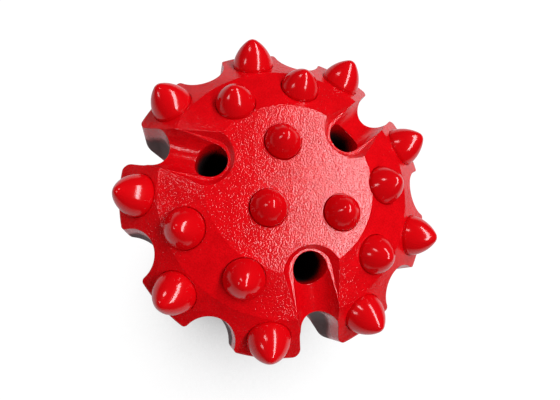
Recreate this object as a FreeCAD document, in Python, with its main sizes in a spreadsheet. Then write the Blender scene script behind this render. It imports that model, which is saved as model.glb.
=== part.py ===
"""Threaded button drill bit, 102 mm, for top hammer drilling.

A forged and machined steel body carries eighteen pressed-in carbide buttons.
The bit stands on the end of its skirt: +Z runs up the bit's axis to the flat
face, and the origin is the centre of the skirt end.  Lengths are millimetres
and angles are degrees.
"""
import FreeCAD, Part
import math
import os

import Sketcher

doc = FreeCAD.newDocument("button_drill_bit")

# ---------------------------------------------------------------------------
# Driving dimensions
# ---------------------------------------------------------------------------
DIMENSIONS = [
    # turned outside of the body
    ("overall_length", 148.0),
    ("skirt_diameter", 72.0),
    ("rim_diameter", 100.8),
    ("gauge_cone_width", 11.6),
    ("gauge_cone_angle", 39.5),
    ("face_cone_width", 13.3),
    ("face_cone_angle", 20.2),
    ("side_depth", 16.0),
    ("side_taper_angle", 1.5),
    ("back_cone_angle", 30.0),
    ("rim_round", 0.8),
    ("back_round", 10.0),
    ("skirt_round", 18.0),
    ("skirt_end_chamfer", 2.0),
    # axial flutes that carry the cuttings back
    ("main_flute_depth", 12.7),
    ("main_flute_width", 12.4),
    ("minor_flute_depth", 7.6),
    ("minor_flute_width", 16.0),
    ("main_tooth_round", 2.4),
    ("minor_tooth_round", 1.4),
    # flushing holes and the channels that run out from them across the face
    ("flush_hole_inset", 24.8),
    ("flush_hole_diameter", 10.4),
    ("flush_hole_angle", 15.0),
    ("channel_width", 13.2),
    ("channel_floor_depth", 5.4),
    ("channel_slope", 21.0),
    ("channel_bevel_slope", 9.0),
    ("channel_bevel_angle", 45.0),
    ("channel_bevel_depth", 2.4),
    # socket for the threaded rod end, and the water chamber above it
    ("pilot_diameter", 52.4),
    ("pilot_depth", 16.0),
    ("pilot_chamfer", 1.5),
    ("thread_crest_diameter", 46.8),
    ("thread_root_diameter", 51.0),
    ("thread_pitch", 12.7),
    ("thread_root_width", 3.2),
    ("thread_flank_angle", 35.0),
    ("thread_length", 70.0),
    ("relief_diameter", 52.0),
    ("relief_length", 8.0),
    ("chamber_diameter", 40.0),
    ("chamber_depth", 6.0),
    ("drill_tip_angle", 59.0),
    # gauge row: one button between each pair of flutes; every inset is measured
    # in from the rim
    ("gauge_count", 9),
    ("gauge_diameter", 13.0),
    ("gauge_protrusion", 8.3),
    ("gauge_tip_radius", 2.6),
    ("gauge_ogive_radius", 13.0),
    ("gauge_seat_inset", 5.8),
    ("gauge_shank_length", 15.0),
    # front row: on the face cone, in line with the minor flutes
    ("front_diameter", 12.0),
    ("front_protrusion", 6.8),
    ("front_tip_radius", 2.8),
    ("front_ogive_radius", 11.0),
    ("front_outer_seat_inset", 17.2),
    ("front_inner_seat_inset", 20.0),
    ("front_shank_length", 14.0),
    # three buttons on the flat face, on unequal circles so they sweep it all
    ("face_diameter", 11.0),
    ("face_protrusion", 6.8),
    ("face_tip_radius", 2.8),
    ("face_ogive_radius", 10.0),
    ("face_inner_seat_inset", 40.55),
    ("face_middle_seat_inset", 36.7),
    ("face_outer_seat_inset", 33.3),
    ("face_inner_azimuth", 61.8),
    ("face_middle_azimuth", 297.3),
    ("face_outer_azimuth", 170.0),
    ("face_shank_length", 12.0),
    # details common to every button
    ("button_collar", 0.8),
    ("button_end_chamfer", 1.0),
    ("socket_mouth_width", 0.3),
    ("socket_mouth_depth", 0.6),
]

sheet = doc.addObject("Spreadsheet::Sheet", "Sizes")
for row, (alias, number) in enumerate(DIMENSIONS, start=1):
    sheet.set(f"A{row}", alias)
    sheet.set(f"B{row}", str(number))
    sheet.setAlias(f"B{row}", alias)
doc.recompute()

CUTTER_OVERRUN = 4.0  # how far a cutting tool starts clear of the surface
FLUTE_SETS = 3  # the face repeats every third of a turn


def value(expression):
    """Number that an expression on the sheet gives now."""
    result = sheet.evalExpression(expression)
    return float(getattr(result, "Value", result))


def cell(alias):
    """Expression that reads one named dimension."""
    return f"Sizes.{alias}"


# Expressions worked out from the driving dimensions, used by several features
RIM_RADIUS = "(Sizes.rim_diameter / 2)"
CONE_RADIUS = f"({RIM_RADIUS} - Sizes.gauge_cone_width)"
FLAT_RADIUS = f"({CONE_RADIUS} - Sizes.face_cone_width)"
SKIRT_RADIUS = "(Sizes.skirt_diameter / 2)"
FACE_Z = "Sizes.overall_length"
CONE_Z = f"({FACE_Z} - ({CONE_RADIUS} - {FLAT_RADIUS}) * tan(Sizes.face_cone_angle))"
RIM_Z = f"({CONE_Z} - ({RIM_RADIUS} - {CONE_RADIUS}) * tan(Sizes.gauge_cone_angle))"
SIDE_Z = f"({RIM_Z} - Sizes.side_depth)"
SIDE_RADIUS = f"({RIM_RADIUS} - Sizes.side_depth * tan(Sizes.side_taper_angle))"
BACK_Z = f"({SIDE_Z} - ({SIDE_RADIUS} - {SKIRT_RADIUS}) / tan(Sizes.back_cone_angle))"

THREAD_TOP_Z = "(Sizes.pilot_depth + Sizes.thread_length)"
SOCKET_TOP_Z = f"({THREAD_TOP_Z} + Sizes.relief_length)"
CHAMBER_RADIUS = "(Sizes.chamber_diameter / 2)"
CHAMBER_TOP_Z = f"({SOCKET_TOP_Z} + Sizes.chamber_depth)"
CHAMBER_TIP_Z = f"({CHAMBER_TOP_Z} + {CHAMBER_RADIUS} / tan(Sizes.drill_tip_angle))"

GAUGE_PITCH = "(360 / Sizes.gauge_count)"
FLUSH_RADIUS = f"({RIM_RADIUS} - Sizes.flush_hole_inset)"


def inset_radius(alias):
    """Radius that lies a named distance inside the rim."""
    return f"({RIM_RADIUS} - {cell(alias)})"


def face_cone_z(radius):
    """Height of the face cone at a radius."""
    return f"({FACE_Z} - ({radius} - {FLAT_RADIUS}) * tan(Sizes.face_cone_angle))"


def gauge_cone_z(radius):
    """Height of the gauge cone at a radius."""
    return f"({CONE_Z} - ({radius} - {CONE_RADIUS}) * tan(Sizes.gauge_cone_angle))"


# ---------------------------------------------------------------------------
# Helpers for sketches, cutters and patterns
# ---------------------------------------------------------------------------
def origin_feature(body, role):
    """One of a body's own origin planes or axes."""
    return next(f for f in body.Origin.OriginFeatures if f.Role == role)


def new_sketch(body, name, plane, offset=None):
    """Sketch on an origin plane, shifted and tipped by expressions if given."""
    sketch = body.newObject("Sketcher::SketchObject", name)
    sketch.AttachmentSupport = (origin_feature(body, plane), [""])
    sketch.MapMode = "FlatFace"
    for key, expression in (offset or {}).items():
        sketch.setExpression(f"AttachmentOffset.{key}", expression)
    return sketch


def pin_point(sketch, geometry, end, across, along):
    """Fix one end point at (across, along), each an expression."""
    for kind, axis, expression in (
        ("DistanceX", -2, across),
        ("DistanceY", -1, along),
    ):
        number = value(expression)
        if abs(number) < 1e-9:
            sketch.addConstraint(
                Sketcher.Constraint("PointOnObject", geometry, end, axis)
            )
            continue
        index = sketch.addConstraint(
            Sketcher.Constraint(kind, -1, 1, geometry, end, number)
        )
        sketch.setExpression(f"Constraints[{index}]", expression)


def draw_polygon(sketch, corners):
    """Closed outline of straight lines through corners given as expressions."""
    points = [FreeCAD.Vector(value(x), value(y), 0) for x, y in corners]
    lines = [
        sketch.addGeometry(Part.LineSegment(start, end), False)
        for start, end in zip(points, points[1:] + points[:1])
    ]
    for line, following in zip(lines, lines[1:] + lines[:1]):
        sketch.addConstraint(Sketcher.Constraint("Coincident", line, 2, following, 1))
    for line, (across, along) in zip(lines, corners):
        pin_point(sketch, line, 1, across, along)


def draw_slot(sketch, centre, half_width, reach):
    """Slot with a round inner end about (centre, 0), open outwards to reach."""
    middle, half, outer = value(centre), value(half_width), value(reach)
    arc = sketch.addGeometry(
        Part.ArcOfCircle(
            Part.Circle(FreeCAD.Vector(middle, 0, 0), FreeCAD.Vector(0, 0, 1), half),
            math.pi / 2,
            3 * math.pi / 2,
        ),
        False,
    )
    corners = [(middle, -half), (outer, -half), (outer, half), (middle, half)]
    points = [FreeCAD.Vector(x, y, 0) for x, y in corners]
    lower, end, upper = [
        sketch.addGeometry(Part.LineSegment(start, stop), False)
        for start, stop in zip(points, points[1:])
    ]
    for constraint in (
        ("Tangent", arc, 2, lower, 1),
        ("Coincident", lower, 2, end, 1),
        ("Coincident", end, 2, upper, 1),
        ("Tangent", upper, 2, arc, 1),
        ("Horizontal", lower),
        ("Horizontal", upper),
        ("Vertical", end),
    ):
        sketch.addConstraint(Sketcher.Constraint(*constraint))
    radius = sketch.addConstraint(Sketcher.Constraint("Radius", arc, half))
    sketch.setExpression(f"Constraints[{radius}]", half_width)
    pin_point(sketch, arc, 3, centre, "0")
    length = sketch.addConstraint(Sketcher.Constraint("DistanceX", -1, 1, end, 1, outer))
    sketch.setExpression(f"Constraints[{length}]", reach)


def draw_flute(sketch, centre, half_width, corner, reach):
    """Flute outline: round floor about (centre, 0), tooth corners rounded to the rim.

    A deep flute has straight walls between its floor and the rounded corners; the
    corners of a shallow one run straight on from the floor.
    """
    middle, half, bend, outer = (
        value(item) for item in (centre, half_width, corner, reach)
    )
    rim = value(RIM_RADIUS)
    inner, wide = rim - bend, half + bend
    turn = math.sqrt(inner**2 - wide**2)
    deep = turn > middle
    if not deep:
        turn = (middle**2 + inner**2 - wide**2) / (2 * middle)
    rise = math.sqrt(inner**2 - turn**2)
    leave = math.pi / 2 if deep else math.atan2(rise, turn - middle)
    contact = math.pi / 2 if deep else math.atan2(rise, middle - turn)
    lean = math.atan2(rise, turn)
    side = rim * math.sin(lean)
    normal = FreeCAD.Vector(0, 0, 1)

    def arc(x, y, radius, start, end):
        circle = Part.Circle(FreeCAD.Vector(x, y, 0), normal, radius)
        return sketch.addGeometry(Part.ArcOfCircle(circle, start, end), False)

    def line(x1, y1, x2, y2):
        ends = FreeCAD.Vector(x1, y1, 0), FreeCAD.Vector(x2, y2, 0)
        return sketch.addGeometry(Part.LineSegment(*ends), False)

    rim_circle = sketch.addGeometry(
        Part.Circle(FreeCAD.Vector(0, 0, 0), normal, rim), True
    )
    floor = arc(middle, 0, half, leave, 2 * math.pi - leave)
    lower_bend = arc(turn, -rise, bend, -lean, contact)
    upper_bend = arc(turn, rise, bend, -contact, lean)
    lower_side = line(rim * math.cos(lean), -side, outer, -side)
    end = line(outer, -side, outer, side)
    upper_side = line(outer, side, rim * math.cos(lean), side)
    constraints = [
        ("Coincident", rim_circle, 3, -1, 1),
        ("Tangent", lower_bend, 1, rim_circle),
        ("Tangent", upper_bend, 2, rim_circle),
        ("Coincident", lower_bend, 1, lower_side, 1),
        ("Coincident", lower_side, 2, end, 1),
        ("Coincident", end, 2, upper_side, 1),
        ("Coincident", upper_side, 2, upper_bend, 2),
        ("Horizontal", lower_side),
        ("Horizontal", upper_side),
        ("Vertical", end),
        ("Equal", lower_bend, upper_bend),
    ]
    if deep:
        lower_wall = line(middle, -half, turn, -half)
        upper_wall = line(turn, half, middle, half)
        constraints += [
            ("Tangent", floor, 2, lower_wall, 1),
            ("Tangent", lower_wall, 2, lower_bend, 2),
            ("Tangent", upper_bend, 1, upper_wall, 1),
            ("Tangent", upper_wall, 2, floor, 1),
            ("Horizontal", lower_wall),
            ("Horizontal", upper_wall),
        ]
    else:
        constraints += [
            ("Tangent", floor, 2, lower_bend, 2),
            ("Tangent", upper_bend, 1, floor, 1),
        ]
    for constraint in constraints:
        sketch.addConstraint(Sketcher.Constraint(*constraint))
    pin_point(sketch, floor, 3, centre, "0")
    for thing, number, expression in (
        (rim_circle, rim, RIM_RADIUS),
        (floor, half, half_width),
        (lower_bend, bend, corner),
    ):
        index = sketch.addConstraint(Sketcher.Constraint("Radius", thing, number))
        sketch.setExpression(f"Constraints[{index}]", expression)
    length = sketch.addConstraint(Sketcher.Constraint("DistanceX", -1, 1, end, 1, outer))
    sketch.setExpression(f"Constraints[{length}]", reach)


def draw_half_slot(sketch, half_width, reach):
    """Upper half of a slot with a round inner end about the sketch's origin."""
    half, outer = value(half_width), value(reach)
    arc = sketch.addGeometry(
        Part.ArcOfCircle(
            Part.Circle(FreeCAD.Vector(0, 0, 0), FreeCAD.Vector(0, 0, 1), half),
            math.pi / 2,
            math.pi,
        ),
        False,
    )
    corners = [(-half, 0), (outer, 0), (outer, half), (0, half)]
    points = [FreeCAD.Vector(x, y, 0) for x, y in corners]
    base, end, side = [
        sketch.addGeometry(Part.LineSegment(start, stop), False)
        for start, stop in zip(points, points[1:])
    ]
    for constraint in (
        ("Coincident", arc, 3, -1, 1),
        ("Coincident", arc, 2, base, 1),
        ("Coincident", base, 2, end, 1),
        ("Coincident", end, 2, side, 1),
        ("Tangent", side, 2, arc, 1),
        ("PointOnObject", base, 1, -1),
        ("Horizontal", base),
        ("Vertical", end),
        ("Horizontal", side),
    ):
        sketch.addConstraint(Sketcher.Constraint(*constraint))
    radius = sketch.addConstraint(Sketcher.Constraint("Radius", arc, half))
    sketch.setExpression(f"Constraints[{radius}]", half_width)
    length = sketch.addConstraint(Sketcher.Constraint("DistanceX", -1, 1, end, 1, outer))
    sketch.setExpression(f"Constraints[{length}]", reach)


def turned(body, name, kind, sketch, axis):
    """Revolution or Groove of a sketch through a full turn."""
    feature = body.newObject(kind, name)
    feature.Profile = sketch
    feature.ReferenceAxis = axis
    feature.Angle = 360
    doc.recompute()
    return feature


def place_in_seat(thing, azimuth, radius, height, tilt, along):
    """Stand a thing on its seat: tipped outwards by tilt, moved along its axis."""
    out = f"({radius} + ({along}) * sin({tilt}))"
    for key, expression in (
        ("Base.x", f"{out} * cos({azimuth})"),
        ("Base.y", f"{out} * sin({azimuth})"),
        ("Base.z", f"{height} + ({along}) * cos({tilt})"),
        ("Rotation.Axis.x", f"-sin({azimuth})"),
        ("Rotation.Axis.y", f"cos({azimuth})"),
        ("Rotation.Axis.z", "0"),
        ("Rotation.Angle", tilt),
    ):
        thing.setExpression(f"Placement.{key}", expression)


def polar_pattern(body, name, features, count):
    """Repeat features about the bit's axis and make them the body's result."""
    pattern = body.newObject("PartDesign::PolarPattern", name)
    pattern.Originals = features
    pattern.Axis = (origin_feature(body, "Z_Axis"), [""])
    pattern.Angle = 360
    pattern.Occurrences = count
    body.Tip = pattern
    doc.recompute()
    return pattern


def ring_edges(feature, radius, height):
    """Names of the full-circle edges of a feature at a radius and a height."""
    found = []
    for number, edge in enumerate(feature.Shape.Edges, start=1):
        curve = edge.Curve
        if not isinstance(curve, Part.Circle):
            continue
        same_radius = abs(curve.Radius - value(radius)) < 1e-4
        if same_radius and abs(curve.Center.z - value(height)) < 1e-4:
            found.append(f"Edge{number}")
    return found


def dress_ring(body, name, kind, size_name, radius, height):
    """Round or chamfer the ring edge at a radius and a height."""
    base = body.Tip
    feature = body.newObject(kind, name)
    feature.Base = (base, ring_edges(base, radius, height))
    dimension = "Radius" if kind.endswith("Fillet") else "Size"
    feature.setExpression(dimension, cell(size_name))
    doc.recompute()
    return feature


# ---------------------------------------------------------------------------
# Button rows: where each carbide button sits
# ---------------------------------------------------------------------------
def row_sizes(kind):
    """Expressions for the diameter and lengths of one kind of button."""
    names = ("diameter", "protrusion", "tip_radius", "ogive_radius", "shank_length")
    return {name: cell(f"{kind}_{name}") for name in names}


def gauge_seats():
    """Seats on the gauge cone, midway between flutes."""
    radius = inset_radius("gauge_seat_inset")
    return [
        {
            "node": f"gauge_button_{number}",
            "kind": "gauge",
            "azimuth": f"({GAUGE_PITCH} * {number - 0.5})",
            "radius": radius,
            "height": gauge_cone_z(radius),
            "tilt": cell("gauge_cone_angle"),
        }
        for number in range(1, int(value(cell("gauge_count"))) + 1)
    ]


def front_seats():
    """Seats on the face cone: outer and inner ones take turns round it."""
    seats = []
    for third in range(FLUTE_SETS):
        for step, name in ((1, "front_outer_seat_inset"), (2, "front_inner_seat_inset")):
            radius = inset_radius(name)
            seats.append(
                {
                    "node": f"front_button_{2 * third + step}",
                    "kind": "front",
                    "azimuth": f"({360 // FLUTE_SETS * third} + {GAUGE_PITCH} * {step})",
                    "radius": radius,
                    "height": face_cone_z(radius),
                    "tilt": cell("face_cone_angle"),
                }
            )
    return seats


def face_seats():
    """Seats on the flat face, square to it."""
    return [
        {
            "node": f"face_button_{number}",
            "kind": "face",
            "azimuth": cell(f"face_{place}_azimuth"),
            "radius": inset_radius(f"face_{place}_seat_inset"),
            "height": FACE_Z,
            "tilt": "0",
        }
        for number, place in enumerate(("inner", "outer", "middle"), start=1)
    ]


SEATS = gauge_seats() + front_seats() + face_seats()


# ---------------------------------------------------------------------------
# Bit body
# ---------------------------------------------------------------------------
def turn_blank(body):
    """Turned outside of the head, back cone and skirt, with its rounds."""
    sketch = new_sketch(body, "blank_outline", "XZ_Plane")
    draw_polygon(
        sketch,
        [
            ("0", "0"),
            (SKIRT_RADIUS, "0"),
            (SKIRT_RADIUS, BACK_Z),
            (SIDE_RADIUS, SIDE_Z),
            (RIM_RADIUS, RIM_Z),
            (CONE_RADIUS, CONE_Z),
            (FLAT_RADIUS, FACE_Z),
            ("0", FACE_Z),
        ],
    )
    turned(body, "turned_blank", "PartDesign::Revolution", sketch, (sketch, ["V_Axis"]))
    fillet = "PartDesign::Fillet"
    dress_ring(body, "skirt_fillet", fillet, "skirt_round", SKIRT_RADIUS, BACK_Z)
    dress_ring(body, "back_fillet", fillet, "back_round", SIDE_RADIUS, SIDE_Z)
    dress_ring(body, "rim_fillet", fillet, "rim_round", RIM_RADIUS, RIM_Z)
    chamfer = "PartDesign::Chamfer"
    dress_ring(body, "skirt_chamfer", chamfer, "skirt_end_chamfer", SKIRT_RADIUS, "0")


def bore_socket(body):
    """Stepped bore: pilot, thread crests, relief, water chamber and drill tip."""
    pilot = f"({cell('pilot_diameter')} / 2)"
    crest = f"({cell('thread_crest_diameter')} / 2)"
    relief = f"({cell('relief_diameter')} / 2)"
    pilot_z = cell("pilot_depth")
    sketch = new_sketch(body, "bore_outline", "XZ_Plane")
    draw_polygon(
        sketch,
        [
            ("0", "0"),
            (f"{pilot} + Sizes.pilot_chamfer", "0"),
            (pilot, cell("pilot_chamfer")),
            (pilot, pilot_z),
            (crest, f"{pilot_z} + ({pilot} - {crest})"),
            (crest, f"{THREAD_TOP_Z} - ({relief} - {crest})"),
            (relief, THREAD_TOP_Z),
            (relief, SOCKET_TOP_Z),
            (CHAMBER_RADIUS, SOCKET_TOP_Z),
            (CHAMBER_RADIUS, CHAMBER_TOP_Z),
            ("0", CHAMBER_TIP_Z),
        ],
    )
    turned(body, "socket_bore", "PartDesign::Groove", sketch, (sketch, ["V_Axis"]))


def cut_thread(body):
    """Left-hand trapezoidal thread, run out into the pilot and the relief."""
    crest = "(Sizes.thread_crest_diameter / 2)"
    root = "(Sizes.thread_root_diameter / 2)"
    inside = f"({crest} - 1)"
    flank_run = f"(({root} - {inside}) * tan(Sizes.thread_flank_angle))"
    middle = "(Sizes.pilot_depth - Sizes.thread_pitch / 2)"
    half_root = "(Sizes.thread_root_width / 2)"
    sketch = new_sketch(body, "thread_outline", "XZ_Plane")
    draw_polygon(
        sketch,
        [
            (inside, f"{middle} - {half_root} - {flank_run}"),
            (root, f"{middle} - {half_root}"),
            (root, f"{middle} + {half_root}"),
            (inside, f"{middle} + {half_root} + {flank_run}"),
        ],
    )
    thread = body.newObject("PartDesign::SubtractiveHelix", "rod_thread")
    thread.Profile = sketch
    thread.ReferenceAxis = (sketch, ["V_Axis"])
    thread.Mode = 0
    thread.LeftHanded = True
    thread.setExpression("Pitch", cell("thread_pitch"))
    thread.setExpression("Height", "Sizes.thread_length + Sizes.thread_pitch")
    doc.recompute()


def mill_flutes(body):
    """Axial flutes: three main ones, and two minor ones between each pair."""
    reach = f"({RIM_RADIUS} + {CUTTER_OVERRUN})"
    cuts = []
    for kind, azimuths in (
        ("main", ("0",)),
        ("minor", (GAUGE_PITCH, f"2 * {GAUGE_PITCH}")),
    ):
        half = f"({cell(f'{kind}_flute_width')} / 2)"
        centre = f"{inset_radius(f'{kind}_flute_depth')} + {half}"
        corner = cell(f"{kind}_tooth_round")
        for number, azimuth in enumerate(azimuths, start=1):
            turn = {
                "Rotation.Axis.x": "0",
                "Rotation.Axis.y": "0",
                "Rotation.Axis.z": "1",
                "Rotation.Angle": azimuth,
            }
            outline = f"{kind}_flute_outline_{number}"
            sketch = new_sketch(body, outline, "XY_Plane", turn)
            draw_flute(sketch, centre, half, corner, reach)
            cut = body.newObject("PartDesign::Pocket", f"{kind}_flute_{number}")
            cut.Profile = sketch
            cut.Type = "ThroughAll"
            cut.Reversed = True
            doc.recompute()
            cuts.append(cut)
    polar_pattern(body, "flutes", cuts, FLUTE_SETS)


def tipped_plane(radius, height, slope):
    """Offsets of a plane through (radius, 0, height), falling outwards by slope."""
    return {
        "Base.x": radius,
        "Base.z": height,
        "Rotation.Axis.x": "0",
        "Rotation.Axis.y": "1",
        "Rotation.Axis.z": "0",
        "Rotation.Angle": slope,
    }


def mill_trough(body, half, end, reach):
    """Round-bottomed trough with a ball end, as a ball-nosed cutter leaves it."""
    axis_z = f"({FACE_Z} - Sizes.channel_floor_depth + {half} / cos(Sizes.channel_slope))"
    plane = tipped_plane(end, axis_z, cell("channel_slope"))
    sketch = new_sketch(body, "trough_outline", "XY_Plane", plane)
    draw_half_slot(sketch, half, reach)
    axis = (sketch, ["H_Axis"])
    return turned(body, "channel_trough", "PartDesign::Groove", sketch, axis)


def mill_bevel(body, half, end, reach):
    """Bevel along both edges of the trough and round its inner end."""
    plane = tipped_plane(
        end, f"{FACE_Z} - Sizes.channel_bevel_depth", cell("channel_bevel_slope")
    )
    sketch = new_sketch(body, "bevel_outline", "XY_Plane", plane)
    draw_slot(sketch, "0", half, reach)
    bevel = body.newObject("PartDesign::Pocket", "channel_bevel")
    bevel.Profile = sketch
    bevel.Reversed = True
    bevel.setExpression("Length", f"Sizes.channel_bevel_depth + {CUTTER_OVERRUN}")
    bevel.setExpression("TaperAngle", cell("channel_bevel_angle"))
    doc.recompute()
    return bevel


def drill_flushing_hole(body):
    """Inclined hole from a channel's inner end down into the water chamber."""
    angle = cell("flush_hole_angle")
    chamber_middle = f"({SOCKET_TOP_Z} + Sizes.chamber_depth / 2)"
    plane = tipped_plane(
        f"{FLUSH_RADIUS} + {CUTTER_OVERRUN} * sin({angle})",
        f"{FACE_Z} + {CUTTER_OVERRUN} * cos({angle})",
        angle,
    )
    sketch = new_sketch(body, "flushing_hole_outline", "XY_Plane", plane)
    radius = "Sizes.flush_hole_diameter / 2"
    centre, normal = FreeCAD.Vector(0, 0, 0), FreeCAD.Vector(0, 0, 1)
    circle = sketch.addGeometry(Part.Circle(centre, normal, value(radius)), False)
    sketch.addConstraint(Sketcher.Constraint("Coincident", circle, 3, -1, 1))
    number = sketch.addConstraint(Sketcher.Constraint("Radius", circle, value(radius)))
    sketch.setExpression(f"Constraints[{number}]", radius)
    hole = body.newObject("PartDesign::Pocket", "flushing_hole")
    hole.Profile = sketch
    hole.setExpression(
        "Length", f"({FACE_Z} - {chamber_middle}) / cos({angle}) + {CUTTER_OVERRUN}"
    )
    doc.recompute()
    return hole


def mill_channels(body):
    """Three channels with their bevels and flushing holes."""
    half = "(Sizes.channel_width / 2)"
    reach = f"({RIM_RADIUS} + {CUTTER_OVERRUN} - {FLUSH_RADIUS})"
    cuts = [
        mill_trough(body, half, FLUSH_RADIUS, reach),
        mill_bevel(body, half, FLUSH_RADIUS, reach),
        drill_flushing_hole(body),
    ]
    polar_pattern(body, "channels", cuts, FLUTE_SETS)


def bore_button_socket(body, seat):
    """Blind hole for one button's shank, with a lead-in cone at its mouth."""
    name = seat["node"].replace("button", "socket")
    sizes = row_sizes(seat["kind"])
    where = [seat[key] for key in ("azimuth", "radius", "height", "tilt")]
    radius, depth = f"{sizes['diameter']} / 2", sizes["shank_length"]
    hole = body.newObject("PartDesign::SubtractiveCylinder", name)
    hole.setExpression("Radius", radius)
    hole.setExpression("Height", f"{depth} + {CUTTER_OVERRUN}")
    place_in_seat(hole, *where, f"-{depth}")
    doc.recompute()

    lead, width = cell("socket_mouth_depth"), cell("socket_mouth_width")
    mouth = body.newObject("PartDesign::SubtractiveCone", f"{name}_mouth")
    mouth.setExpression("Radius1", radius)
    mouth.setExpression("Radius2", f"{radius} + {width} * (1 + {CUTTER_OVERRUN} / {lead})")
    mouth.setExpression("Height", f"{lead} + {CUTTER_OVERRUN}")
    place_in_seat(mouth, *where, f"-{lead}")
    doc.recompute()


def make_bit_body():
    """The one-piece steel body."""
    body = doc.addObject("PartDesign::Body", "bit_body")
    body.Label = "bit_body"
    turn_blank(body)
    for seat in SEATS:
        bore_button_socket(body, seat)
    mill_flutes(body)
    mill_channels(body)
    bore_socket(body)
    cut_thread(body)
    return body


# ---------------------------------------------------------------------------
# Carbide buttons
# ---------------------------------------------------------------------------
def draw_button(sketch, sizes):
    """Half section of a ballistic button, from the foot of its shank upwards."""
    radius = f"({sizes['diameter']} / 2)"
    shoulder = f"({sizes['shank_length']} + Sizes.button_collar)"
    top = f"({sizes['shank_length']} + {sizes['protrusion']})"
    chamfer = cell("button_end_chamfer")
    corners = [("0", top), ("0", "0"), (f"{radius} - {chamfer}", "0"), (radius, chamfer)]
    corners.append((radius, shoulder))
    points = [FreeCAD.Vector(value(x), value(y), 0) for x, y in corners]
    lines = [
        sketch.addGeometry(Part.LineSegment(start, end), False)
        for start, end in zip(points, points[1:])
    ]

    # the ogive leaves the shoulder and runs tangent into the round tip
    tip, ogive = value(sizes["tip_radius"]), value(sizes["ogive_radius"])
    tip_centre = FreeCAD.Vector(0, value(top) - tip, 0)
    across = tip_centre - points[-1]
    gap = across.Length
    along = (gap**2 + ogive**2 - (ogive - tip) ** 2) / (2 * gap)
    aside = math.sqrt(ogive**2 - along**2)
    across.normalize()
    ogive_centre = (
        points[-1] + across * along + FreeCAD.Vector(-across.y, across.x, 0) * aside
    )

    def bearing(centre, point):
        return math.atan2(point.y - centre.y, point.x - centre.x)

    meeting = bearing(ogive_centre, tip_centre)
    normal = FreeCAD.Vector(0, 0, 1)
    flank = sketch.addGeometry(
        Part.ArcOfCircle(
            Part.Circle(ogive_centre, normal, ogive),
            bearing(ogive_centre, points[-1]),
            meeting,
        ),
        False,
    )
    dome = sketch.addGeometry(
        Part.ArcOfCircle(Part.Circle(tip_centre, normal, tip), meeting, math.pi / 2),
        False,
    )
    for constraint in (
        *(("Coincident", line, 2, after, 1) for line, after in zip(lines, lines[1:])),
        ("Coincident", lines[-1], 2, flank, 1),
        ("Tangent", flank, 2, dome, 1),
        ("Coincident", dome, 2, lines[0], 1),
        ("PointOnObject", dome, 3, -2),
    ):
        sketch.addConstraint(Sketcher.Constraint(*constraint))
    for line, (x, y) in zip(lines, corners):
        pin_point(sketch, line, 1, x, y)
    pin_point(sketch, lines[-1], 2, *corners[-1])
    for arc, name in ((flank, "ogive_radius"), (dome, "tip_radius")):
        number = sketch.addConstraint(
            Sketcher.Constraint("Radius", arc, value(sizes[name]))
        )
        sketch.setExpression(f"Constraints[{number}]", sizes[name])


def make_button(seat):
    """One carbide button, standing in its socket."""
    sizes = row_sizes(seat["kind"])
    body = doc.addObject("PartDesign::Body", seat["node"])
    body.Label = seat["node"]
    sketch = new_sketch(body, f"{seat['node']}_outline", "XZ_Plane")
    draw_button(sketch, sizes)
    turned(
        body, f"{seat['node']}_form", "PartDesign::Revolution", sketch, (sketch, ["V_Axis"])
    )
    where = [seat[key] for key in ("azimuth", "radius", "height", "tilt")]
    place_in_seat(body, *where, f"-{sizes['shank_length']}")
    return body


# ---------------------------------------------------------------------------
# Build, check and write
# ---------------------------------------------------------------------------
nodes = [make_bit_body()] + [make_button(seat) for seat in SEATS]
doc.recompute()

for item in doc.Objects:
    if {"Invalid", "Error"} & set(item.State):
        raise RuntimeError(f"{item.Name} did not build: {item.State}")
for node in nodes:
    if node.Shape.isNull() or not node.Shape.isValid():
        raise RuntimeError(f"{node.Label} has no valid shape")

os.makedirs("parts", exist_ok=True)
for node in nodes:
    node.Shape.exportStep(f"parts/{node.Label}.step")
    box = node.Shape.BoundBox
    print(
        f"{node.Label}: {node.Shape.Volume:.0f} mm3, {len(node.Shape.Solids)} solid,"
        f" {len(node.Shape.Faces)} faces, top at {box.ZMax:.2f}"
    )
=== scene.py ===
# %% [markdown]
# # A painted button drill bit
# This lesson dresses the solids of a rock drill bit: one forged steel body and
# eighteen pressed-in carbide buttons. The solids come in at their real size and
# place, so the work here is camera, table, lamps and paint. The whole bit was
# sprayed with one glossy red enamel, and what makes the parts look different is
# the steel under the paint: blasted and grainy on the body, polished on the
# buttons, and bare in the socket.

# %% Load the bit's solids
import bmesh
import bpy
import math
from mathutils import Euler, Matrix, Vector

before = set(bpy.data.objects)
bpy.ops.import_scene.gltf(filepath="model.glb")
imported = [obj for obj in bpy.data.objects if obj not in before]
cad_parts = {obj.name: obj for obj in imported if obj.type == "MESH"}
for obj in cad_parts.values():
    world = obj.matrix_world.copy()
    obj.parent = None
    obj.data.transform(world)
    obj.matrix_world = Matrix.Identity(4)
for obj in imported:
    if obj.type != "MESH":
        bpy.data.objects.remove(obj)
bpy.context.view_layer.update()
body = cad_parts["bit_body"]
buttons = [node for name, node in sorted(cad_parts.items()) if "button" in name]
scene = bpy.context.scene
scene.view_settings.view_transform = "Standard"

# %% [markdown]
# ## Where the eye is
# The bit stands on its skirt, and the eye is close above the cutting face, a
# little to one side. Standing that close makes the near buttons look large and
# hides the skirt behind the head. A camera with a moderate wide lens does the
# same; a long lens further away would flatten the head.

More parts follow.
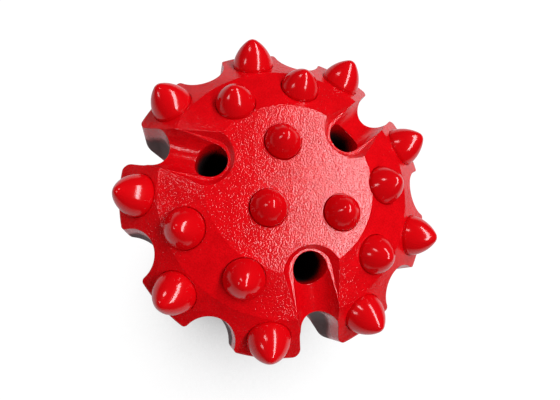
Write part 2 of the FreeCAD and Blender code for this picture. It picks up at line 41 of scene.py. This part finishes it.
# %% Camera above the cutting face
CAMERA_PLACE = (0.01862, 0.03828, 0.26762)
CAMERA_TURN = (12.441, -11.802, -163.839)  # degrees about X, Y and Z
camera_data = bpy.data.cameras.new("camera")
camera_data.lens = 27.64
camera_data.sensor_width = 36.0
camera_data.clip_start = 0.01
camera = bpy.data.objects.new("camera", camera_data)
camera.location = CAMERA_PLACE
camera.rotation_euler = Euler([math.radians(angle) for angle in CAMERA_TURN])
scene.collection.objects.link(camera)
scene.camera = camera
print(f"camera {Vector(CAMERA_PLACE).length * 1000:.0f} mm from the skirt's end")

# %% [markdown]
# ## Small helpers for building shaders
# A material is a graph of nodes. These helpers add one node with its settings
# and join it to what feeds it, so that each recipe below reads as a list of
# steps. A number or colour is put straight on the socket; anything else is an
# output to link.


# %% Helpers for shader trees
def add(tree, kind, inputs=None, **settings):
    """Add a node, set its properties, then set or link its inputs."""
    node = tree.nodes.new(kind)
    for name, setting in settings.items():
        setattr(node, name, setting)
    for name, source in (inputs or {}).items():
        socket = node.inputs[name]
        if isinstance(source, bpy.types.NodeSocket):
            tree.links.new(source, socket)
        else:
            socket.default_value = source
    return node


def maths(tree, operation, first, second=0.0, third=0.0):
    """Result of one arithmetic step."""
    inputs = {0: first, 1: second, 2: third}
    return add(tree, "ShaderNodeMath", inputs, operation=operation).outputs[0]


def ramp(tree, source, start, stop, low=0.0, high=1.0):
    """Smooth change from low to high while source goes from start to stop."""
    node = add(
        tree,
        "ShaderNodeMapRange",
        {"Value": source, "From Min": start, "From Max": stop, "To Min": low, "To Max": high},
        interpolation_type="SMOOTHSTEP",
    )
    return node.outputs["Result"]


def blend(tree, amount, first, second):
    """Colour mixed from first to second by amount."""
    node = add(tree, "ShaderNodeMix", data_type="RGBA")
    for socket, source in zip((node.inputs[0], node.inputs[6], node.inputs[7]),
                              (amount, first, second)):
        if isinstance(source, bpy.types.NodeSocket):
            tree.links.new(source, socket)
        else:
            socket.default_value = source
    return node.outputs[2]


def new_group(name, inputs, outputs):
    """Empty node group with its sockets, and its two end nodes."""
    group = bpy.data.node_groups.new(name, "ShaderNodeTree")
    for label, kind in inputs.items():
        group.interface.new_socket(label, in_out="INPUT", socket_type=f"NodeSocket{kind}")
    for label, kind in outputs.items():
        group.interface.new_socket(label, in_out="OUTPUT", socket_type=f"NodeSocket{kind}")
    return group, group.nodes.new("NodeGroupInput"), group.nodes.new("NodeGroupOutput")


def new_material(name):
    """Material with an empty tree apart from its output."""
    material = bpy.data.materials.new(name)
    material.use_nodes = True
    tree = material.node_tree
    tree.nodes.clear()
    return material, tree, tree.nodes.new("ShaderNodeOutputMaterial")


# %% [markdown]
# ## The table under it
# Product pictures stand on a white sheet lit so strongly that it turns plain
# white, except where the object keeps the light off it. One wide disc does it
# here. To the lamps it is plain paper. To the eye it also glows as if a wide dome
# of light stood over it, leaning to one side, so it is darker where the bit hides
# the dome. That glow never reaches the bit, which keeps the red deep.

# %% White floor
FLOOR_RADIUS = 3.0
DOME_LEAN = (0.30, -0.42, 0.86)
DOME_BRIGHTNESS = 0.97
floor_bm = bmesh.new()
bmesh.ops.create_circle(floor_bm, cap_ends=True, segments=96, radius=FLOOR_RADIUS)
floor_mesh = bpy.data.meshes.new("floor")
floor_bm.to_mesh(floor_mesh)
floor_bm.free()
floor = bpy.data.objects.new("floor", floor_mesh)
scene.collection.objects.link(floor)

white_paper, tree, out = new_material("white_paper")
path = add(tree, "ShaderNodeLightPath").outputs["Is Camera Ray"]
paper_grey = ramp(tree, path, 0.0, 1.0, 0.8, 0.10)
paper = add(tree, "ShaderNodeBsdfDiffuse", {"Color": paper_grey})
lean = add(tree, "ShaderNodeCombineXYZ", dict(enumerate(DOME_LEAN)))
open_sky = add(tree, "ShaderNodeAmbientOcclusion",
               {"Distance": 0.20, "Normal": lean.outputs[0]}, samples=24)
dome = ramp(tree, open_sky.outputs["AO"], 0.45, 0.86, 0.30, 1.0)
glow = maths(tree, "MULTIPLY", path, maths(tree, "MULTIPLY", dome, DOME_BRIGHTNESS))
lift = add(tree, "ShaderNodeEmission", {"Strength": glow})
both = add(tree, "ShaderNodeAddShader", {0: paper.outputs[0], 1: lift.outputs[0]})
tree.links.new(both.outputs[0], out.inputs["Surface"])
floor_mesh.materials.append(white_paper)
print(f"floor {2 * FLOOR_RADIUS:.0f} m across at z = {floor.location.z:.3f}")

# %% [markdown]
# ## Light
# Glossy enamel is a mirror for lamps, so their shapes matter as much as their
# strength. One long soft box, like a strip window, crosses the sky almost
# overhead and draws the long streak down each button. Two small lamps on the
# other side add the short dots beside it. The rest of the room is dim: mirrors
# that show a dark room are what make red paint look deep instead of milky.


# %% Lamps
HEAD_MIDDLE = Vector((0.0, 0.0, 0.14))


def aim(theta, azimuth):
    """Unit direction from the head: theta down from straight up."""
    tip, turn = math.radians(theta), math.radians(azimuth)
    return Vector((math.sin(tip) * math.cos(turn), math.sin(tip) * math.sin(turn), math.cos(tip)))


def soft_box(name, towards, distance, long_side, width, length, brightness, tint):
    """Rectangular lamp facing the head, its length along long_side.

    The brightness is what a mirror shows of it, whatever its size.
    """
    lamp = bpy.data.lights.new(name, "AREA")
    lamp.shape = "RECTANGLE"
    lamp.size, lamp.size_y = width, length
    lamp.energy = brightness * math.pi * width * length
    lamp.color = tint
    thing = bpy.data.objects.new(name, lamp)
    back = towards.normalized()
    up = (long_side - back * long_side.dot(back)).normalized()
    side = up.cross(back)
    turn = thing.rotation_euler.to_matrix()
    for row in range(3):
        turn[row][0], turn[row][1], turn[row][2] = side[row], up[row], back[row]
    thing.rotation_euler = turn.to_euler()
    thing.location = HEAD_MIDDLE + back * distance
    scene.collection.objects.link(thing)
    return thing


COOL = (0.97, 0.96, 1.0)
strip_end_one, strip_end_two = aim(44.6, 137.7), aim(57.3, 264.0)
soft_box("strip", aim(25.5, 208.0), 0.8, strip_end_one - strip_end_two, 0.15, 1.30, 13.0, COOL)
soft_box("dot_low", aim(40.4, -21.8), 0.8, aim(20, -21.8), 0.13, 0.19, 9.0, COOL)
soft_box("dot_side", aim(58.0, 22.0), 0.8, aim(20, 22.0), 0.13, 0.17, 7.0, COOL)
print("3 lamps")

# %% Dim room
world = bpy.data.worlds.new("room")
scene.world = world
world.use_nodes = True
room = world.node_tree
ray = add(room, "ShaderNodeLightPath")
dimmed = maths(room, "MULTIPLY", ray.outputs["Is Glossy Ray"], -0.14)
strength = maths(room, "ADD", dimmed, 0.16)
background = room.nodes["Background"]
background.inputs["Color"].default_value = (1, 1, 1, 1)
room.links.new(strength, background.inputs["Strength"])

# %% [markdown]
# ## What lies under the paint
# Enamel follows the surface below it. On shot-blasted steel it keeps a fine
# grain that breaks a reflection into sparkle. On a polished button it lies
# smooth, with only the slow waves that sprayers call orange peel. Corners are
# never sharp: paint pulls back from them into a small round, which is where the
# thin bright lines along the edges come from. Both materials need all three, so
# they are one group with amounts.

# %% Group: the skin of sprayed enamel
GRAIN_PER_METRE = 2100.0
PEEL_PER_METRE = 420.0
skin, given, result = new_group(
    "enamel_skin",
    {"Place": "Vector", "Grain": "Float", "Peel": "Float", "Corner": "Float"},
    {"Normal": "Vector", "Crest": "Float"},
)
rounded = add(skin, "ShaderNodeBevel", {"Radius": given.outputs["Corner"]}, samples=6)
fine = add(
    skin,
    "ShaderNodeTexNoise",
    {"Vector": given.outputs["Place"], "Scale": GRAIN_PER_METRE, "Detail": 1.0,
     "Roughness": 0.5},
)
waves = add(
    skin,
    "ShaderNodeTexNoise",
    {"Vector": given.outputs["Place"], "Scale": PEEL_PER_METRE, "Detail": 1.0},
)
peeled = add(
    skin,
    "ShaderNodeBump",
    {"Height": waves.outputs[0], "Strength": given.outputs["Peel"], "Distance": 0.0006,
     "Normal": rounded.outputs["Normal"]},
)
grained = add(
    skin,
    "ShaderNodeBump",
    {"Height": fine.outputs[0], "Strength": given.outputs["Grain"], "Distance": 0.00010,
     "Normal": peeled.outputs["Normal"]},
)
skin.links.new(grained.outputs["Normal"], result.inputs["Normal"])
skin.links.new(ramp(skin, fine.outputs[0], 0.35, 0.6), result.inputs["Crest"])

# %% [markdown]
# ## Red enamel on the buttons
# The carbide is ground and polished, so the enamel on it is as smooth as glass.
# A plain Principled surface with a low roughness does it; the deep red comes
# from a base colour with almost no green or blue in it.

# %% Button enamel
DEEP_RED = (0.74, 0.0010, 0.004, 1)
button_enamel, tree, out = new_material("button_enamel")
place = add(tree, "ShaderNodeTexCoord").outputs["Object"]
surface = add(tree, "ShaderNodeGroup", node_tree=skin)
for name, amount in (("Grain", 0.02), ("Peel", 0.05), ("Corner", 0.0002)):
    surface.inputs[name].default_value = amount
tree.links.new(place, surface.inputs["Place"])
paint = add(
    tree,
    "ShaderNodeBsdfPrincipled",
    {"Base Color": DEEP_RED, "Roughness": 0.13, "Normal": surface.outputs["Normal"]},
)
tree.links.new(paint.outputs[0], out.inputs["Surface"])
for button in buttons:
    for slot in button.material_slots:
        slot.material = button_enamel

# %% [markdown]
# ## Red enamel on the body
# The body's paint changes from place to place, and every change has a reason
# that a position in the bit's own space can tell:
#
# * on the face and cones it lies thick over blasted steel, so it is grainy, and
#   the pits of the grain are darkened as painted shade;
# * down in the flutes the spray hardly reaches, so the paint is thin and dull;
#   its dark brown is partly that thin paint and partly painted shade;
# * the flushing holes are painted near black a few millimetres in: painted
#   shade, because nothing lights them;
# * the socket and the end that it stood on were masked, so they are bare.

# %% Sizes of the head that the masks follow, in metres
FACE_Z, FLAT_RADIUS, FACE_SLOPE = 0.148, 0.0255, 0.368
CONE_Z, CONE_RADIUS, GAUGE_SLOPE = 0.1431, 0.0388, 0.824
HOLE_RADIUS, HOLE_MOUTH_RADIUS, HOLE_LEAN = 0.0052, 0.0256, 15.0
SOCKET_RADIUS, CHAMBER_TOP_Z = 0.0268, 0.1125

# %% Group: places on the body
places, given, result = new_group(
    "body_places",
    {"Place": "Vector"},
    {"Depth": "Float", "Hole": "Float", "Bare": "Float", "Radius": "Float"},
)
xyz = add(places, "ShaderNodeSeparateXYZ", {0: given.outputs["Place"]}).outputs
radius = maths(places, "SQRT", maths(
    places, "ADD", maths(places, "MULTIPLY", xyz[0], xyz[0]),
    maths(places, "MULTIPLY", xyz[1], xyz[1])))
# how deep a point lies under the turned outline of the face and cones
past_flat = maths(places, "SUBTRACT", radius, FLAT_RADIUS)
past_cone = maths(places, "SUBTRACT", radius, CONE_RADIUS)
under_face = maths(places, "MULTIPLY", past_flat, -FACE_SLOPE)
under_cone = maths(places, "MULTIPLY", past_cone, -GAUGE_SLOPE)
outline = maths(places, "MINIMUM", maths(places, "ADD", under_face, FACE_Z), FACE_Z)
outline = maths(places, "MINIMUM", outline, maths(places, "ADD", under_cone, CONE_Z))
depth = maths(places, "SUBTRACT", outline, xyz[2])
# the three holes become one when the turn about the axis is folded into a third
angle = maths(places, "ARCTAN2", xyz[1], xyz[0])
third = math.radians(60)
folded = maths(places, "WRAP", angle, third, -third)
across = maths(places, "MULTIPLY", radius, maths(places, "SINE", folded))
along = maths(places, "MULTIPLY", radius, maths(places, "COSINE", folded))
fall = maths(places, "SUBTRACT", FACE_Z, xyz[2])
inward = -math.tan(math.radians(HOLE_LEAN))
axis_at = maths(places, "MULTIPLY_ADD", fall, inward, HOLE_MOUTH_RADIUS)
off_axis = maths(places, "MULTIPLY", maths(places, "SUBTRACT", along, axis_at),
                 math.cos(math.radians(HOLE_LEAN)))
from_axis = maths(places, "SQRT", maths(
    places, "ADD", maths(places, "MULTIPLY", off_axis, off_axis),
    maths(places, "MULTIPLY", across, across)))
in_hole = ramp(places, from_axis, HOLE_RADIUS + 0.0006, HOLE_RADIUS + 0.0002)
deep = ramp(places, xyz[2], 0.1425, 0.1350)
hole = maths(places, "MULTIPLY", in_hole, deep)
in_socket = maths(places, "MULTIPLY", maths(places, "LESS_THAN", radius, SOCKET_RADIUS),
                  maths(places, "LESS_THAN", xyz[2], CHAMBER_TOP_Z))
on_end = maths(places, "LESS_THAN", xyz[2], 0.0004)
bare = maths(places, "MAXIMUM", in_socket, on_end)
for name, source in (("Depth", depth), ("Hole", hole), ("Bare", bare), ("Radius", radius)):
    places.links.new(source, result.inputs[name])

# %% Body enamel
FRESH_RED_DARK, FRESH_RED_LIGHT = (0.72, 0.0008, 0.004, 1), (0.81, 0.0012, 0.005, 1)
# darker red for painted shade in the pits of the grain
PIT_SHADE_RED = (0.42, 0.0, 0.001, 1)
# dark brown of thin paint, darkened further as painted shade for the flutes
THIN_PAINT_AND_SHADE = (0.09, 0.004, 0.004, 1)
# painted shade: near black inside the flushing holes
HOLE_SHADE_BLACK = (0.006, 0.003, 0.003, 1)
STEEL = (0.20, 0.185, 0.17, 1)
body_enamel, tree, out = new_material("body_enamel")
place = add(tree, "ShaderNodeTexCoord").outputs["Object"]
where = add(tree, "ShaderNodeGroup", node_tree=places)
tree.links.new(place, where.inputs["Place"])
patchy = add(tree, "ShaderNodeTexNoise", {"Vector": place, "Scale": 260.0, "Detail": 3.0})
# thin paint and painted shade down in the flutes, with an uneven border
uneven = maths(tree, "MULTIPLY_ADD", patchy.outputs[0], 0.008, where.outputs["Depth"])
thin_paint_and_shade = maths(tree, "MULTIPLY", ramp(tree, uneven, 0.0095, 0.0170),
             ramp(tree, where.outputs["Radius"], 0.0499, 0.0493))
xyz = add(tree, "ShaderNodeSeparateXYZ", {0: place}).outputs
thin_paint_and_shade = maths(tree, "MULTIPLY", thin_paint_and_shade, ramp(tree, xyz[2], 0.102, 0.112))
shade = ramp(tree, patchy.outputs[0], 0.3, 0.7)
surface = add(tree, "ShaderNodeGroup", node_tree=skin)
tree.links.new(place, surface.inputs["Place"])
fresh = blend(tree, shade, FRESH_RED_DARK, FRESH_RED_LIGHT)
# painted shade: the pits of the grain are darkened towards a deeper red
pit_shade = maths(tree, "MULTIPLY", maths(tree, "SUBTRACT", 1.0, surface.outputs["Crest"]), 0.30)
fresh = blend(tree, pit_shade, fresh, PIT_SHADE_RED)
# painted shade: the flutes take the dark brown of thin paint in shade
colour = blend(tree, thin_paint_and_shade, fresh, THIN_PAINT_AND_SHADE)
colour = blend(tree, where.outputs["Bare"], colour, STEEL)
# painted shade: the flushing holes turn near black a few millimetres in
colour = blend(tree, where.outputs["Hole"], colour, HOLE_SHADE_BLACK)
grain = ramp(tree, where.outputs["Depth"], 0.004, 0.0015, 0.4, 1.0)
tree.links.new(grain, surface.inputs["Grain"])
surface.inputs["Peel"].default_value = 0.12
surface.inputs["Corner"].default_value = 0.0004
dull = maths(tree, "MAXIMUM", where.outputs["Hole"], thin_paint_and_shade)
roughness = ramp(tree, dull, 0.0, 1.0, 0.12, 0.6)
paint = add(
    tree,
    "ShaderNodeBsdfPrincipled",
    {"Base Color": colour, "Roughness": roughness, "Metallic": where.outputs["Bare"],
     "Normal": surface.outputs["Normal"]},
)
tree.links.new(paint.outputs[0], out.inputs["Surface"])
for slot in body.material_slots:
    slot.material = body_enamel
